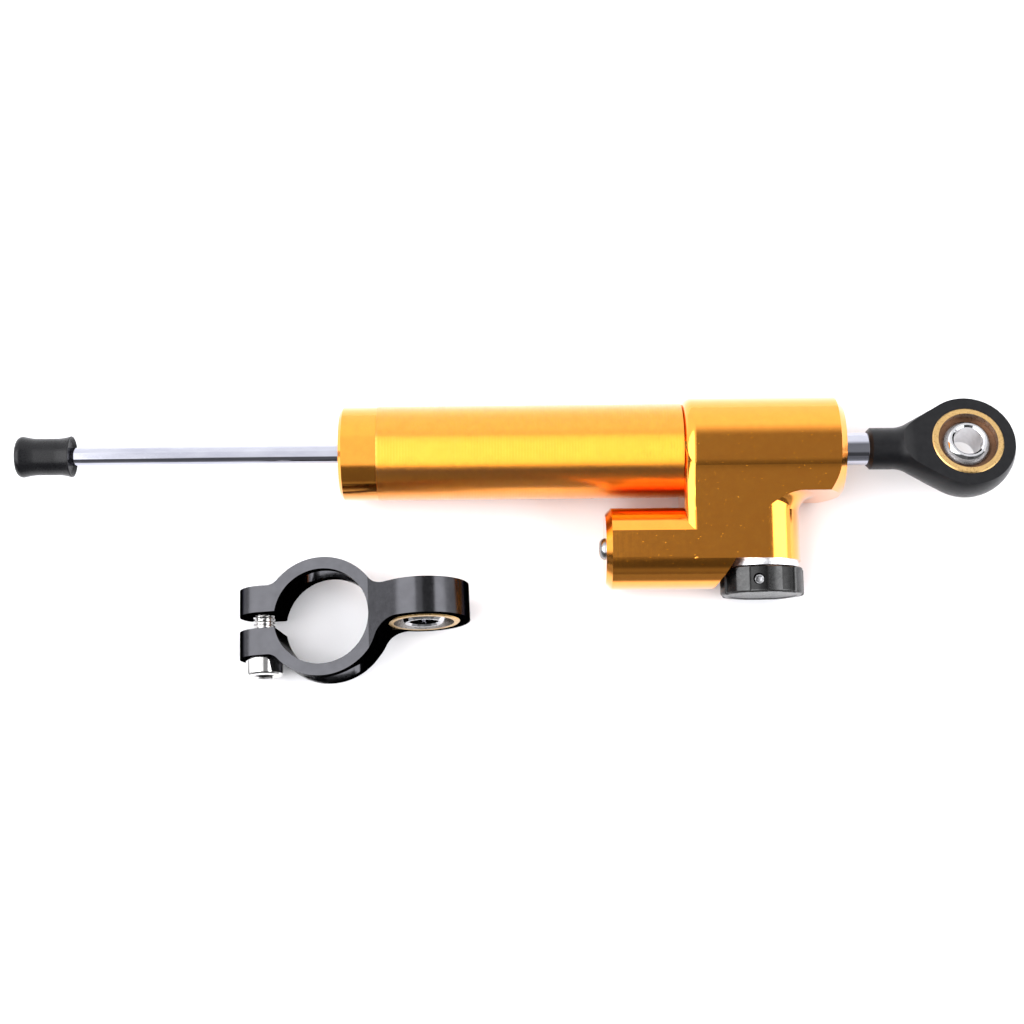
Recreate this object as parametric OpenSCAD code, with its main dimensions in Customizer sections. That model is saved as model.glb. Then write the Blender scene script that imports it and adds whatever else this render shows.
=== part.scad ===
// Steering damper for a motorcycle: an oil-filled cylinder with a through rod, a valve block with a
// damping knob and a spring-loaded reservoir, a spherical rod eye, and a split clamp that goes round
// the tube. Millimetres. The rod runs along X, the table lies under -Z, and the origin is the centre
// of the ball in the rod eye.

/* [Valve block] */
// Outer diameter of the head that the rod comes out of
head_d = 29; // [27.5:0.1:31]
// Length of the block along the rod
block_len = 43.8; // [41.5:0.1:50]
// Rounding of the block's edge on the tube side
block_edge = 3.2; // [1.5:0.1:4]
// Chamfer of the head's edge on the rod-eye side
head_edge = 1.8; // [0.6:0.1:2.5]
// Radius of the hollow blend between the head and the web
blend_r = 30; // [27:0.5:32]
// Distance from the rod axis to the shoulder that the knob boss stands out from
boss_shoulder = 13.2; // [12.8:0.1:13.6]
// Thickness of the web between head and reservoir, and of the knob boss
web_t = 21.2; // [20.2:0.1:21.8]
// Distance from the block's rod-eye side to the knob axis
knob_from_face = 22.4; // [21.8:0.1:25]
// Distance from the rod axis to the end face of the knob boss
boss_reach = 31.3; // [30.6:0.1:33]

/* [Reservoir] */
// Outer diameter of the reservoir
reservoir_d = 22.4; // [22:0.1:23.4]
// Bore of the reservoir
reservoir_bore = 18; // [17:0.1:18.6]
// Distance from the rod axis to the reservoir axis
reservoir_offset = 27.2; // [26:0.1:28]
// Length of the reservoir that stands out past the block's tube side
reservoir_out = 21.2; // [20:0.1:26]
// Length of the chamfered rim of the reservoir plug
plug_rim = 1.6; // [1.2:0.1:2]
// Length of the plug's spigot inside the reservoir
plug_spigot = 4; // [3.6:0.1:4.6]
// Length of the floating piston
float_len = 5; // [4.6:0.1:5.6]
// Gap between the plug's spigot and the floating piston at rest
float_gap = 4.2; // [3.6:0.1:5]
// Wire of the reservoir spring
spring_wire = 1; // [0.8:0.05:1.1]
// Mean diameter of the reservoir spring
spring_d = 11; // [9:0.1:11.4]
// Turns of the reservoir spring
spring_turns = 6; // [5:1:7]

/* [Tube and tail cap] */
// Outer diameter of the cylinder tube
tube_d = 26; // [25.4:0.1:26.8]
// Bore of the cylinder tube
tube_bore = 21; // [20.4:0.1:21.4]
// Length of the tube that shows between block and tail cap
tube_len = 83; // [82.4:0.1:95]
// Diameter of the tube's end inside the block
tube_spigot_d = 24; // [23.6:0.1:24.4]
// Length of the tube's end inside the block
tube_spigot = 13; // [10:0.1:14]
// Outer diameter of the tail cap
cap_d = 25.9; // [25:0.1:26.4]
// Length of the tail cap that shows
cap_len = 10.2; // [9.4:0.1:12]
// Length of the tail cap's spigot inside the tube
cap_spigot = 8; // [7:0.1:8.4]

/* [Rod and piston] */
// Diameter of the rod on the rod-eye side
rod_d = 9; // [8.4:0.1:9.6]
// Diameter of the rod on the tail side
tail_rod_d = 5; // [4.6:0.1:5.4]
// Length of rod between block and rod eye at rest
rod_out = 7.6; // [5.6:0.1:12]
// Length of tail rod between tail cap and bumper at rest
tail_out = 74.4; // [71:0.1:80]
// Gap between the cap's spigot and the piston at rest
piston_gap = 8.9; // [8.6:0.1:9.4]
// Length of the piston
piston_len = 8.5; // [8:0.1:8.8]
// Width of the guide band on the piston
band_w = 5; // [4:0.1:6]

/* [Tail bumper] */
// Outer diameter of the bumper's ends
bumper_d = 11.4; // [10.8:0.1:13]
// Diameter of the bumper's waist
bumper_waist = 10.4; // [9:0.1:10.6]
// Length of the bumper
bumper_len = 15.4; // [14:0.1:18]

/* [Knob] */
// Outer diameter of the damping knob
knob_d = 22.8; // [21.6:0.1:23.8]
// Height of the damping knob
knob_h = 7.2; // [5.8:0.1:8]
// Hollows round the knob's rim
knob_hollows = 8; // [6:1:10]
// Depth of the hollows round the knob's rim
hollow_depth = 0.6; // [0.3:0.05:0.9]
// Part of the knob's rim that the hollows take up
hollow_share = 0.54; // [0.45:0.01:0.6]
// Set screw's direction round the knob, 90 is straight up
set_screw_angle = 102; // [90:1:110]
// Outer diameter of the index ring under the knob
index_d = 20; // [19.6:0.1:21]
// Thickness of the index ring
index_t = 1.7; // [1.4:0.1:2]
// Click positions in a full turn
clicks = 6; // [4:1:12]

/* [Spherical bearings] */
// Bore of each ball, for the mounting bolt
ball_bore = 8; // [7:0.1:8.4]
// Diameter of each ball
ball_d = 14.5; // [14:0.1:14.8]
// Length of each ball along its bore
ball_w = 10.4; // [9.6:0.1:10.8]
// Outer diameter of the liner that the ball turns in
liner_d = 16.2; // [16:0.1:16.6]
// Outer diameter of the brass ring
bush_d = 19.5; // [18.6:0.1:20.4]

/* [Rod eye] */
// Outer diameter of the rod eye
eye_d = 27.5; // [26:0.1:29]
// Thickness of the rod eye between its flats
eye_t = 9.2; // [8.6:0.1:9.8]
// Diameter of the rod eye's shank
shank_d = 11.5; // [11:0.1:12.4]
// Distance from the ball's centre to the end of the shank
shank_reach = 27; // [26:0.1:30]
// Distance from the ball's centre to where the flats of the rod eye begin
flat_reach = 14; // [13.6:0.1:15]
// Turn of the rod eye about the rod at rest, away from the reservoir
eye_roll = 7; // [0:0.5:20]

/* [Clamp] */
// Bore of the clamp, which goes round the tube
clamp_bore = 26; // [25.4:0.1:26.8]
// Wall of the clamp ring
clamp_wall = 3.2; // [2.6:0.1:3.6]
// Width of the clamp ring along its bore
clamp_w = 13.3; // [12.6:0.1:15]
// Gap of the clamp's slit
slit = 4.4; // [4:0.1:5.2]
// Thickness of each of the clamp's ears
ear_t = 7.3; // [7:0.1:7.8]
// Distance from the clamp's bore axis to its screw
screw_x = 17.4; // [16.6:0.1:18.4]
// Diameter of the clamp screw's thread
screw_d = 6; // [5:0.5:6]
// Diameter of the clamp screw's head
screw_head_d = 10; // [9:0.1:10.4]
// Distance from the clamp's bore axis to the centre of its eye
clamp_eye_x = 26.8; // [26.2:0.1:32]
// Outer diameter of the clamp's eye
clamp_eye_d = 25; // [24.2:0.1:27]
// Thickness of the clamp's eye
clamp_eye_t = 9.7; // [9.4:0.1:11.4]
// Distance from the clamp's bore axis to the top face of its eye
clamp_eye_top = 7.4; // [7:0.1:8]
// Width of the lightening slots in the clamp ring
slot_w = 7.4; // [5:0.1:8]
// Length of the lightening slots in the clamp ring
slot_len = 16.8; // [12:0.1:17]
// Place of the clamp's bore centre on the table, along the rod
clamp_x = -175.5; // [-190:0.5:-160]
// Place of the clamp's bore centre on the table, across the rod
clamp_y = -45.7; // [-60:0.5:-45]
// Turn of the clamp on the table
clamp_yaw = 2; // [-10:0.5:10]

/* [Hidden] */
$fn = 96;

// Radial clearance of a running fit, and of a piece that sits still in its seat
run_fit = 0.03;
seat_fit = 0.02;
// Length that a cut runs past the face it opens
past = 1;

// Places along the rod, from the rod eye towards the tail
shank_x = -shank_reach;
face_x = shank_x - rod_out;
back_x = face_x - block_len;
knob_x = face_x - knob_from_face;
spigot_end_x = back_x + tube_spigot;
cap_x = back_x - tube_len;
cap_end_x = cap_x - cap_len;
cap_inner_x = cap_x + cap_spigot;
piston_x = cap_inner_x + piston_gap;
band_x = piston_x + (piston_len - band_w) / 2;
bumper_x = cap_end_x - tail_out;

// The blend's arc touches the web's face this far from the rod axis, and the head at this height
blend_y = sqrt(pow(head_d / 2 + blend_r, 2) - pow(web_t / 2 + blend_r, 2));
blend_top = head_d / 2 * (web_t / 2 + blend_r) / (head_d / 2 + blend_r);
boss_fillet = blend_y - boss_shoulder;
chamfer_reach = 4;

// Head and reservoir both rest on the table, so the block is rolled about the rod
block_roll = asin((head_d - reservoir_d) / 2 / reservoir_offset);
table_z = -head_d / 2;

// Rod guides in the block, each as deep as it is long
head_wiper_len = 3;
head_wiper_d = 16;
head_seal_len = 5;
head_seal_d = 15;
head_bush_len = 9;
head_bush_d = 13;
chamber_d = 14;
chamber_end_x = face_x - head_wiper_len - head_seal_len - head_bush_len;

// Rod guides in the tail cap
tail_wiper_len = 2;
tail_wiper_d = 11;
tail_seal_len = 3;
tail_seal_d = 10;
tail_bush_len = 6;
tail_bush_d = 9;

// Valve spindle in the boss
spindle_d = 8.9;
spindle_bore = spindle_d + 2 * run_fit;
spindle_neck_d = 6;
spindle_seat_y = 14;
port_d = 3;
port_y = 20.5;
retainer_d = 12;
retainer_t = 3;
spindle_shoulder_y = boss_reach - retainer_t;
knob_gap = 0.3;
index_play = 0.5;
spindle_end_gap = 0.2;
spindle_hole_d = 2.4;
knob_face_y = boss_reach + index_t + knob_gap;
knob_bore_depth = 4.6;
knob_pocket_gap = 1.8;
set_screw_d = 3;
set_screw_len = 4;
detent_r = 8;
detent_ball_d = 2.4;
detent_spring_wire = 0.3;
detent_spring_turns = 4;
detent_depth = 4;
dimple_depth = 0.2;
detent_angle = 30;
knob_edge = 0.9;

// Reservoir
plug_x = back_x - reservoir_out;
plug_inner_x = plug_x + plug_rim + plug_spigot;
plug_floor = 3;
pocket_floor = 2;
reservoir_end_x = knob_x - knob_d / 2 - knob_pocket_gap - pocket_floor;
float_x = plug_inner_x + float_gap;
float_cup = 2.5;
spring_play = 0.8;
spring_seat_d = spring_d + spring_wire + spring_play;
bleed_d = 3;
bleed_head_d = 6;
bleed_head_h = 1.5;
bleed_socket = 2;
bleed_tip_gap = 0.4;
// Dome of the bleed screw's head, as parts of the head's height and radius
bleed_dome = [[1 / 3, 0.97], [0.7, 0.82], [1, 0.55]];
bleed_socket_depth = 1.05;
spring_slack = 0.1;

// Cords of the sealing rings
o_ring = 1.6;
tube_ring = 0.8;
plug_ring = 1;
spindle_ring = 1;
spindle_ring_y = spindle_shoulder_y - 2.4;

// Piston
piston_clear = 0.4;
band_t = 1.7;
band_d = tube_bore - 2 * run_fit;
band_inner_d = band_d - 2 * band_t;
nut_h = 3.2;
nut_af = 10;
piston_spigot_d = 6;
rod_thread_d = 7.5;
rod_thread_len = 9.8;
bumper_grip = 12;
bumper_dome = 3;
cap_edge = 0.8;

// Rod eye and bearings
eye_edge = 0.9;
neck_reach = 18;
neck_fillet = 8;
flat_cutter = 12;
bush_proud = 0.3;
liner_half = 2.6;
ball_edge = 0.5;

// Clamp
clamp_r = clamp_bore / 2 + clamp_wall;
ear_half = slit / 2 + ear_t;
clamp_eye_bottom = clamp_eye_t - clamp_eye_top;
clamp_tilt = asin((clamp_eye_d - clamp_w) / 2 / (clamp_eye_x + screw_x));
clamp_z = table_z + clamp_eye_d / 2 - clamp_eye_x * sin(clamp_tilt);
clamp_reach = clamp_eye_d + clamp_bore;
screw_head_h = 6;
screw_len = 16;
counterbore = 1.2;
screw_play = 0.5;
screw_socket = 5;
slot_x = 2;
ear_fillet = 4;
arm_fillet = 6;
belly_fillet = 7;
// Play of a sealing ring in its groove
groove_play = 0.3;
// Mouth and depth of a lip seal's hollow, as parts of its section and length
lip_mouth_share = 0.075;
lip_depth_share = 0.55;
cap_play = 1;
wiper_lip = 0.8;
// Power that flattens the dome at the bumper's end
bumper_round = 0.7;
// How far a fillet's arc cuts into the faces it joins, so that no sliver is left
fillet_bite = 0.02;

// A solid of revolution about X, from points given as [x, radius]
module turned(points) {
    rotate([90, 0, 90]) rotate_extrude() polygon([for (p = points) [p[1], p[0]]]);
}

// A round bar along X from x to x + len
module bar(x, len, d) {
    translate([x, 0, 0]) rotate([0, 90, 0]) cylinder(d = d, h = len);
}

// A round bar in the block's own frame, from the rod axis towards the knob
module knob_bar(y, len, d) {
    translate([knob_x, -y, 0]) rotate([90, 0, 0]) cylinder(d = d, h = len);
}

// A solid of revolution about the knob axis, from points given as [radius, distance from the rod]
module knob_turned(points) {
    translate([knob_x, 0, 0]) rotate([90, 0, 0]) rotate_extrude() polygon(points);
}

// A sleeve along X
module sleeve(x, len, outer_d, inner_d) {
    difference() {
        bar(x, len, outer_d);
        bar(x - past, len + 2 * past, inner_d);
    }
}

// A round sealing ring about X, whose cord is centred at x and whose outside measures d
module ring_seal(x, d, cord = o_ring) {
    translate([x, 0, 0]) rotate([0, 90, 0]) rotate_extrude() translate([(d - cord) / 2, 0]) circle(d = cord);
}

// The groove that a sealing ring lies in, as a cutter round a bar of diameter d
module ring_groove(x, d, cord = o_ring) {
    width = cord + groove_play;
    difference() {
        bar(x - width / 2, width, d + 2 * past);
        bar(x - width, 2 * width, d - 2 * cord);
    }
}

// A lip seal along X: a sleeve with a hollow in its face, on the side that the oil presses on
module lip_seal(x, len, outer_d, inner_d, oil_side) {
    middle = (outer_d + inner_d) / 4;
    half_mouth = (outer_d - inner_d) * lip_mouth_share;
    hollow = [[-past, middle - half_mouth], [len * lip_depth_share, middle], [-past, middle + half_mouth]];
    difference() {
        sleeve(x, len, outer_d, inner_d);
        translate([oil_side > 0 ? x + len : x, 0, 0]) mirror([oil_side > 0 ? 1 : 0, 0, 0]) turned(hollow);
    }
}

// A wiper along X whose lip narrows towards the outside
module wiper(x, len, outer_d, inner_d, outside) {
    lip = wiper_lip;
    bevel = [[-past, inner_d / 2 + lip + past], [len / 2, inner_d / 2 + lip / 2], [-past, outer_d / 2 - lip]];
    difference() {
        sleeve(x, len, outer_d, inner_d);
        translate([outside > 0 ? x + len : x, 0, 0]) mirror([outside > 0 ? 1 : 0, 0, 0]) turned(bevel);
    }
}

// The block and what it carries stand rolled about the rod
module in_block() {
    rotate([block_roll, 0, 0]) children();
}

// The reservoir's axis in the block's frame
module at_reservoir() {
    translate([0, -reservoir_offset, 0]) children();
}

// A helix of round wire about X, as one closed tube with flat ends
module coil(x, len, mean_d, wire, turns) {
    per_turn = 20;
    sides = 8;
    n = turns * per_turn;
    rise = len - wire;
    r = mean_d / 2;
    rings = [for (i = [0:n]) let (a = 360 * i / per_turn) [
        for (j = [0:sides - 1]) let (b = 360 * j / sides, out = r + wire / 2 * cos(b)) [
            x + wire / 2 + rise * i / n + wire / 2 * sin(b), out * cos(a), out * sin(a),
        ],
    ]];
    points = [for (ring = rings) for (p = ring) p];
    walls = [for (i = [0:n - 1]) for (j = [0:sides - 1]) let (k = (j + 1) % sides) each [
        [i * sides + j, (i + 1) * sides + j, (i + 1) * sides + k],
        [i * sides + j, (i + 1) * sides + k, i * sides + k],
    ]];
    ends = [for (j = [1:sides - 2]) each [[0, j, j + 1], [n * sides, n * sides + j + 1, n * sides + j]]];
    polyhedron(points, concat(walls, ends));
}

// Outline of the web and boss, seen along the knob axis
module web_outline() {
    left = back_x;
    half = web_t / 2;
    union() {
        translate([left, -half + block_edge]) square([knob_x - left, web_t - 2 * block_edge]);
        translate([left + block_edge, -half]) square([knob_x - left - block_edge, web_t]);
        for (side = [-1, 1])
            translate([left + block_edge, side * (half - block_edge)]) circle(r = block_edge);
        translate([knob_x, 0]) circle(d = web_t);
    }
}

// Section of the head, as radius across and x up, with its edge on the tube side rounded
module head_section() {
    r = head_d / 2;
    translate([0, back_x + block_edge]) square([r, block_len - block_edge]);
    translate([0, back_x]) square([r - block_edge, block_len / 2]);
    translate([r - block_edge, back_x + block_edge]) circle(r = block_edge);
}

// Section of the hollow blend from the head down to the web, on both faces
module blend_section() {
    difference() {
        translate([-blend_y, -blend_top]) square([blend_y, 2 * blend_top]);
        for (side = [-1, 1]) translate([-blend_y, side * (web_t / 2 + blend_r)])
            circle(r = blend_r + fillet_bite);
    }
}

// Blend along the block, its edge on the tube side rounded like the head's
module head_blend() {
    difference() {
        translate([back_x, 0, 0]) rotate([90, 0, 90]) linear_extrude(block_len) blend_section();
        for (side = [-1, 1]) translate([0, -blend_y, side * (web_t / 2 + blend_r)])
            rotate([90, 0, 90]) rotate_extrude() difference() {
                translate([blend_r - past, back_x - past])
                    square([block_edge + past, block_edge + past]);
                translate([blend_r + block_edge, back_x + block_edge]) circle(r = block_edge);
            }
    }
}

// What is turned away round the boss on its free side, down to the shoulder and its fillet
module boss_clearance() {
    centre_r = web_t / 2 + boss_fillet;
    intersection() {
        translate([knob_x, 0, 0]) rotate([90, 0, 0]) rotate_extrude() intersection() {
            translate([0, boss_shoulder]) square([block_len, boss_fillet + past]);
            union() {
                translate([centre_r, boss_shoulder + boss_fillet]) circle(r = boss_fillet + fillet_bite);
                translate([centre_r, 0]) square([block_len, 2 * boss_reach]);
            }
        }
        translate([knob_x, -boss_reach, -block_len]) cube([block_len, boss_reach, 2 * block_len]);
    }
}

// Cone that the edge of the rod-eye side is chamfered with
module face_chamfer() {
    inner = head_d / 2 - head_edge;
    outer = head_d / 2 + chamfer_reach;
    rotate([90, 0, 90]) rotate_extrude() polygon([
        [inner - past, face_x + past], [outer, face_x + past], [outer, face_x - outer + inner],
    ]);
}

// Outside of the reservoir, with flats that run on from the web's faces
module reservoir_outside() {
    difference() {
        at_reservoir() bar(plug_x + plug_rim, knob_x - plug_x - plug_rim, reservoir_d);
        for (side = [0, 1]) mirror([0, 0, side])
            translate([plug_x, -reservoir_offset - reservoir_d, web_t / 2])
                cube([knob_x - plug_x + past, 2 * reservoir_d, reservoir_d]);
    }
}

// Everything bored out of the block
module block_bores() {
    seal_x = chamber_end_x + head_bush_len;
    bar(back_x - past, tube_spigot + past, tube_spigot_d + 2 * seat_fit);
    bar(spigot_end_x - past, chamber_end_x - spigot_end_x + past, chamber_d);
    bar(chamber_end_x - past, head_bush_len + past, head_bush_d + 2 * seat_fit);
    bar(seal_x - past, head_seal_len + past, head_seal_d + 2 * seat_fit);
    bar(face_x - head_wiper_len, head_wiper_len + past, head_wiper_d + 2 * seat_fit);
    knob_bar(0, spindle_seat_y + past, port_d);
    knob_bar(spindle_seat_y, boss_reach - spindle_seat_y, spindle_bore);
    knob_bar(spindle_shoulder_y, retainer_t + past, retainer_d + 2 * seat_fit);
    translate([0, -port_y, 0]) bar(reservoir_end_x - past, knob_x - reservoir_end_x + past, port_d);
    at_reservoir() bar(plug_x, reservoir_end_x - plug_x, reservoir_bore);
    knob_bar(boss_reach, 2 * reservoir_d, knob_d + 2 * knob_pocket_gap);
}

// Machined block: the head that guides the rod, the web, the knob boss and the reservoir in one
module body_block() {
    color("goldenrod") in_block() difference() {
        union() {
            difference() {
                union() {
                    rotate([90, 0, 90]) rotate_extrude() head_section();
                    head_blend();
                }
                boss_clearance();
            }
            rotate([90, 0, 0]) linear_extrude(boss_reach) web_outline();
            reservoir_outside();
        }
        face_chamfer();
        block_bores();
    }
}

// Tube that the piston runs in, with a thinner end that seats in the block
module cylinder_tube() {
    color("goldenrod") difference() {
        turned([
            [cap_x, 0], [cap_x, tube_d / 2], [back_x, tube_d / 2],
            [back_x, tube_spigot_d / 2], [spigot_end_x, tube_spigot_d / 2], [spigot_end_x, 0],
        ]);
        bar(cap_x - past, tube_len + tube_spigot + 2 * past, tube_bore);
        ring_groove(back_x + tube_spigot / 2, tube_spigot_d, tube_ring);
    }
}

// Ring that seals the tube in the block
module tube_o_ring() {
    color("dimgray") ring_seal(back_x + tube_spigot / 2, tube_spigot_d, tube_ring);
}

// Cap that closes the tube's tail end and guides the tail rod
module tail_cap() {
    spigot_r = tube_bore / 2 - seat_fit;
    color("goldenrod") difference() {
        turned([
            [cap_end_x, 0], [cap_end_x, cap_d / 2 - cap_edge], [cap_end_x + cap_edge, cap_d / 2],
            [cap_x, cap_d / 2], [cap_x, spigot_r], [cap_inner_x, spigot_r], [cap_inner_x, 0],
        ]);
        bar(cap_end_x - past, cap_len + cap_spigot + 2 * past, tail_rod_d + cap_play);
        bar(cap_inner_x - tail_bush_len, tail_bush_len + past, tail_bush_d + 2 * seat_fit);
        bar(cap_end_x - past, tail_wiper_len + tail_seal_len + past, tail_seal_d + 2 * seat_fit);
        bar(cap_end_x - past, tail_wiper_len + past, tail_wiper_d + 2 * seat_fit);
        ring_groove(cap_x + cap_spigot / 2, 2 * spigot_r);
    }
}

// Ring that seals the cap in the tube
module cap_o_ring() {
    color("dimgray") ring_seal(cap_x + cap_spigot / 2, tube_bore - 2 * seat_fit);
}

// Bronze bush that guides the tail rod
module tail_guide_bush() {
    color("peru") sleeve(cap_inner_x - tail_bush_len, tail_bush_len, tail_bush_d, tail_rod_d + 2 * run_fit);
}

// Lip seal on the tail rod
module tail_rod_seal() {
    color("dimgray")
        lip_seal(cap_end_x + tail_wiper_len, tail_seal_len, tail_seal_d, tail_rod_d + 2 * run_fit, 1);
}

// Wiper that keeps dirt off the tail rod
module tail_wiper() {
    color("dimgray") wiper(cap_end_x, tail_wiper_len, tail_wiper_d, tail_rod_d + 2 * run_fit, -1);
}

// Bronze bush that guides the rod in the head
module head_guide_bush() {
    color("peru") sleeve(chamber_end_x, head_bush_len, head_bush_d, rod_d + 2 * run_fit);
}

// Lip seal on the rod
module head_rod_seal() {
    color("dimgray")
        lip_seal(chamber_end_x + head_bush_len, head_seal_len, head_seal_d, rod_d + 2 * run_fit, -1);
}

// Wiper that keeps dirt off the rod
module head_wiper() {
    color("dimgray") wiper(face_x - head_wiper_len, head_wiper_len, head_wiper_d, rod_d + 2 * run_fit, 1);
}

// Plug that closes the reservoir and seats its spring
module reservoir_plug() {
    r = reservoir_d / 2;
    spigot_r = reservoir_bore / 2 - seat_fit;
    shoulder_x = plug_x + plug_rim;
    color("goldenrod") in_block() at_reservoir() difference() {
        turned([
            [plug_x, 0], [plug_x, r - plug_rim], [shoulder_x, r], [shoulder_x, spigot_r],
            [plug_inner_x, spigot_r], [plug_inner_x, 0],
        ]);
        bar(plug_x + plug_floor, plug_rim + plug_spigot, spring_seat_d);
        bar(plug_x - past, plug_floor + 2 * past, bleed_d + 2 * seat_fit);
        ring_groove(shoulder_x + plug_spigot / 2, 2 * spigot_r, plug_ring);
    }
}

// Ring that seals the plug in the reservoir
module plug_o_ring() {
    color("dimgray") in_block() at_reservoir()
        ring_seal(plug_x + plug_rim + plug_spigot / 2, reservoir_bore - 2 * seat_fit, plug_ring);
}

// Button-headed screw that bleeds the reservoir, with a hexagon socket
module bleed_screw() {
    r = bleed_head_d / 2;
    tip_x = plug_x + plug_floor - bleed_tip_gap;
    color("silver") in_block() at_reservoir() difference() {
        turned([
            [tip_x, 0], [tip_x, bleed_d / 2], [plug_x, bleed_d / 2], [plug_x, r],
            for (part = bleed_dome) [plug_x - bleed_head_h * part.x, r * part.y],
            [plug_x - bleed_head_h, 0],
        ]);
        translate([plug_x - bleed_head_h - past, 0, 0]) rotate([0, 90, 0])
            cylinder(d = bleed_socket / cos(30), h = bleed_socket_depth + past, $fn = 6);
    }
}

// Piston that floats between oil and spring in the reservoir
module floating_piston() {
    outer_d = reservoir_bore - 2 * run_fit;
    color("silver") in_block() at_reservoir() difference() {
        bar(float_x, float_len, outer_d);
        bar(float_x - past, float_cup + past, spring_seat_d);
        ring_groove(float_x + float_len / 2, outer_d, plug_ring);
    }
}

// Ring that seals the floating piston in the reservoir's bore
module floating_piston_ring() {
    color("dimgray") in_block() at_reservoir()
        ring_seal(float_x + float_len / 2, reservoir_bore - 2 * run_fit, plug_ring);
}

// Spring that presses the floating piston against the oil
module reservoir_spring() {
    seat = plug_x + plug_floor + spring_slack;
    color("silver") in_block() at_reservoir()
        coil(seat, float_x + float_cup - spring_slack - seat, spring_d, spring_wire, spring_turns);
}

// Places children at each click position round the knob axis, on the boss's end face
module at_clicks() {
    for (i = [0:clicks - 1]) translate([knob_x, -boss_reach, 0]) rotate([90, 0, 0])
        rotate([0, 0, detent_angle + 360 * i / clicks]) translate([detent_r, 0, 0]) children();
}

// Plain ring on the boss, with a shallow hollow for each click position
module index_ring() {
    color("silver") in_block() difference() {
        knob_turned([
            [spindle_neck_d / 2 + index_play, boss_reach], [index_d / 2, boss_reach],
            [index_d / 2, boss_reach + index_t], [spindle_neck_d / 2 + index_play, boss_reach + index_t],
        ]);
        at_clicks() translate([0, 0, index_t + detent_ball_d / 2 - dimple_depth]) sphere(d = detent_ball_d);
    }
}

// Threaded ring that keeps the spindle in the boss
module spindle_retainer() {
    hole = spindle_neck_d / 2 + run_fit;
    color("silver") in_block() knob_turned([
        [hole, spindle_shoulder_y], [retainer_d / 2, spindle_shoulder_y],
        [retainer_d / 2, boss_reach], [hole, boss_reach],
    ]);
}

// Rotary metering valve: its cross hole opens to the reservoir's passage as the knob turns
module valve_spindle() {
    r = spindle_d / 2;
    neck = spindle_neck_d / 2;
    shoulder = spindle_shoulder_y - 2 * run_fit;
    foot = spindle_seat_y + 2 * run_fit;
    top = knob_face_y + knob_bore_depth - spindle_end_gap;
    color("silver") in_block() difference() {
        knob_turned([[0, foot], [r, foot], [r, shoulder], [neck, shoulder], [neck, top], [0, top]]);
        knob_bar(foot - past, port_y - foot + past, port_d);
        translate([0, -port_y, 0]) bar(knob_x - spindle_d, spindle_d, spindle_hole_d);
        translate([knob_x, -spindle_ring_y, 0]) rotate([0, 0, -90]) ring_groove(0, spindle_d, spindle_ring);
    }
}

// Ring that seals the spindle in the boss
module spindle_o_ring() {
    color("dimgray") in_block()
        translate([knob_x, -spindle_ring_y, 0]) rotate([0, 0, -90]) ring_seal(0, spindle_d, spindle_ring);
}

// The knob's own frame: origin on its inner face, Z pointing away from the block
module at_knob() {
    in_block() translate([knob_x, -knob_face_y, 0]) rotate([90, 0, 0]) children();
}

// Outline of the knob, with wide hollows round its rim for the fingers, one of them at the set screw
module knob_outline() {
    half_turn = 180 / knob_hollows * hollow_share;
    side = [knob_d * cos(half_turn), knob_d * sin(half_turn)];
    circle(r = knob_d / 2 - hollow_depth);
    difference() {
        circle(d = knob_d);
        for (i = [0:knob_hollows - 1]) rotate([0, 0, set_screw_angle + 360 * i / knob_hollows])
            polygon([[0, 0], [side.x, -side.y], side]);
    }
}

// Damping knob
module knob() {
    r = knob_d / 2;
    color("dimgray") at_knob() difference() {
        intersection() {
            linear_extrude(knob_h) knob_outline();
            rotate_extrude() polygon([
                [0, 0], [r - knob_edge / 2, 0], [r, knob_edge / 2], [r, knob_h - knob_edge],
                [r - knob_edge, knob_h], [0, knob_h],
            ]);
        }
        translate([0, 0, -past]) cylinder(d = spindle_neck_d + 2 * seat_fit, h = knob_bore_depth + past);
        translate([0, 0, knob_h / 2]) rotate([0, 90, set_screw_angle])
            cylinder(d = set_screw_d + 2 * seat_fit, h = knob_d);
        rotate([0, 0, detent_angle]) translate([detent_r, 0, -past])
            cylinder(d = detent_ball_d + 2 * run_fit, h = detent_depth + past);
    }
}

// Headless screw that locks the knob on the spindle
module knob_set_screw() {
    start = spindle_neck_d / 2 + seat_fit;
    color("silver") at_knob() translate([0, 0, knob_h / 2]) rotate([0, 90, set_screw_angle]) difference() {
        translate([0, 0, start]) cylinder(d = set_screw_d, h = set_screw_len);
        translate([0, 0, start + set_screw_len / 2])
            cylinder(d = set_screw_d / 2 / cos(30), h = knob_d, $fn = 6);
    }
}

// Ball that clicks over the index ring
module detent_ball() {
    color("silver") at_knob() rotate([0, 0, detent_angle])
        translate([detent_r, 0, detent_ball_d / 2 - knob_gap + run_fit]) sphere(d = detent_ball_d);
}

// Spring behind the click ball
module detent_spring() {
    start = detent_ball_d - knob_gap + 2 * run_fit;
    color("silver") at_knob() rotate([0, 0, detent_angle]) translate([detent_r, 0, start]) rotate([0, -90, 0])
        coil(
            0, detent_depth - start - run_fit,
            detent_ball_d - 3 * detent_spring_wire, detent_spring_wire, detent_spring_turns
        );
}

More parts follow.
